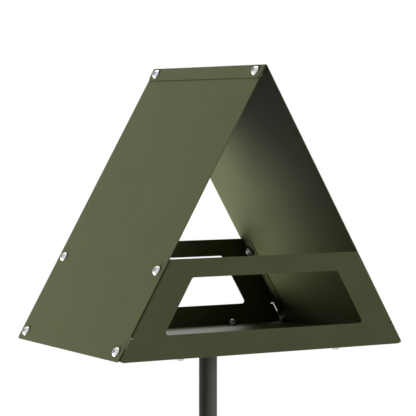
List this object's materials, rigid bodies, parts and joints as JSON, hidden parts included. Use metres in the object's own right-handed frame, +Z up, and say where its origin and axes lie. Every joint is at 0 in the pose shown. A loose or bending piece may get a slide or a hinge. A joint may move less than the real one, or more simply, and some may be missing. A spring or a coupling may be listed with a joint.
{
  "type": "bird feeder",
  "caption": "Gable-shaped garden bird feeder of folded olive steel sheets with trapezoid openings, bolted on a round charcoal pole that stands on a ground spike.",
  "frame": {"origin": "on the pole's axis at ground level, in the plane of the spike collar's underside", "axes": "+Z up along the pole, the front panel faces -Y, the ridge runs along Y"},
  "size_m": [0.3496, 0.248, 1.379],
  "materials": {
    "olive_powder_coat": "fine-textured matt powder coat in olive green",
    "charcoal_powder_coat": "satin powder coat in charcoal grey",
    "stainless_steel": "plain stainless steel with a soft shine"
  },
  "bodies": {
    "root": {"roof_left": "olive_powder_coat", "roof_right": "olive_powder_coat", "front_panel": "olive_powder_coat", "back_panel": "olive_powder_coat", "floor_tray": "olive_powder_coat", "ridge_bolts": "stainless_steel", "ridge_nuts": "stainless_steel", "panel_bolts": "stainless_steel", "panel_nuts": "stainless_steel", "eave_bolts": "stainless_steel", "eave_nuts": "stainless_steel", "sill_bolts": "stainless_steel", "sill_nuts": "stainless_steel", "plate_bolts": "stainless_steel", "plate_nuts": "stainless_steel", "pole_plate": "charcoal_powder_coat", "pole_upper": "charcoal_powder_coat", "pole_middle": "charcoal_powder_coat", "pole_lower": "charcoal_powder_coat", "ground_spike": "charcoal_powder_coat"}
  },
  "joints": []
}
